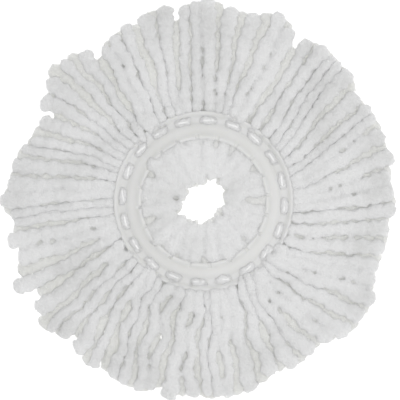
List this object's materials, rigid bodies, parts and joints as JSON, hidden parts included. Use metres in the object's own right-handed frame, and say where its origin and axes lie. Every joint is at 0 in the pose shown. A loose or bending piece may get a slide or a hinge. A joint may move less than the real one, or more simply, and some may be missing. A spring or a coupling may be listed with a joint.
{
  "type": "spin mop refill head",
  "caption": "Round refill head of a spin mop: a moulded plastic snap ring sewn on top of bundles of microfibre yarn that lie fanned out flat around an open centre.",
  "frame": {"origin": "on the snap ring's axis, at the level of the flat surface that the yarn lies on", "axes": "+Z along the ring's axis, from the yarn up to the ring's open side; +Y lies 3.5 degrees anticlockwise, seen from above, of the middle of the first stitch; +X is to the right of +Y seen from above"},
  "size_m": [0.3504, 0.3534, 0.02],
  "materials": {
    "ring_plastic": "satin",
    "sewing_thread": "matte",
    "yarn": "matte"
  },
  "bodies": {
    "root": {"snap_ring": "ring_plastic", "seam_thread": "sewing_thread", "bobbin_thread": "sewing_thread", "upper_yarn_bundle_01": "yarn", "upper_yarn_bundle_02": "yarn", "upper_yarn_bundle_03": "yarn", "upper_yarn_bundle_04": "yarn", "upper_yarn_bundle_05": "yarn", "upper_yarn_bundle_06": "yarn", "upper_yarn_bundle_07": "yarn", "upper_yarn_bundle_08": "yarn", "upper_yarn_bundle_09": "yarn", "upper_yarn_bundle_10": "yarn", "upper_yarn_bundle_11": "yarn", "upper_yarn_bundle_12": "yarn", "upper_yarn_bundle_13": "yarn", "upper_yarn_bundle_14": "yarn", "upper_yarn_bundle_15": "yarn", "upper_yarn_bundle_16": "yarn", "upper_yarn_bundle_17": "yarn", "upper_yarn_bundle_18": "yarn", "upper_yarn_bundle_19": "yarn", "upper_yarn_bundle_20": "yarn", "lower_yarn_bundle_01": "yarn", "lower_yarn_bundle_02": "yarn", "lower_yarn_bundle_03": "yarn", "lower_yarn_bundle_04": "yarn", "lower_yarn_bundle_05": "yarn", "lower_yarn_bundle_06": "yarn", "lower_yarn_bundle_07": "yarn", "lower_yarn_bundle_08": "yarn", "lower_yarn_bundle_09": "yarn", "lower_yarn_bundle_10": "yarn", "lower_yarn_bundle_11": "yarn", "lower_yarn_bundle_12": "yarn", "lower_yarn_bundle_13": "yarn", "lower_yarn_bundle_14": "yarn", "lower_yarn_bundle_15": "yarn", "lower_yarn_bundle_16": "yarn", "lower_yarn_bundle_17": "yarn", "lower_yarn_bundle_18": "yarn", "lower_yarn_bundle_19": "yarn", "lower_yarn_bundle_20": "yarn"}
  },
  "joints": []
}
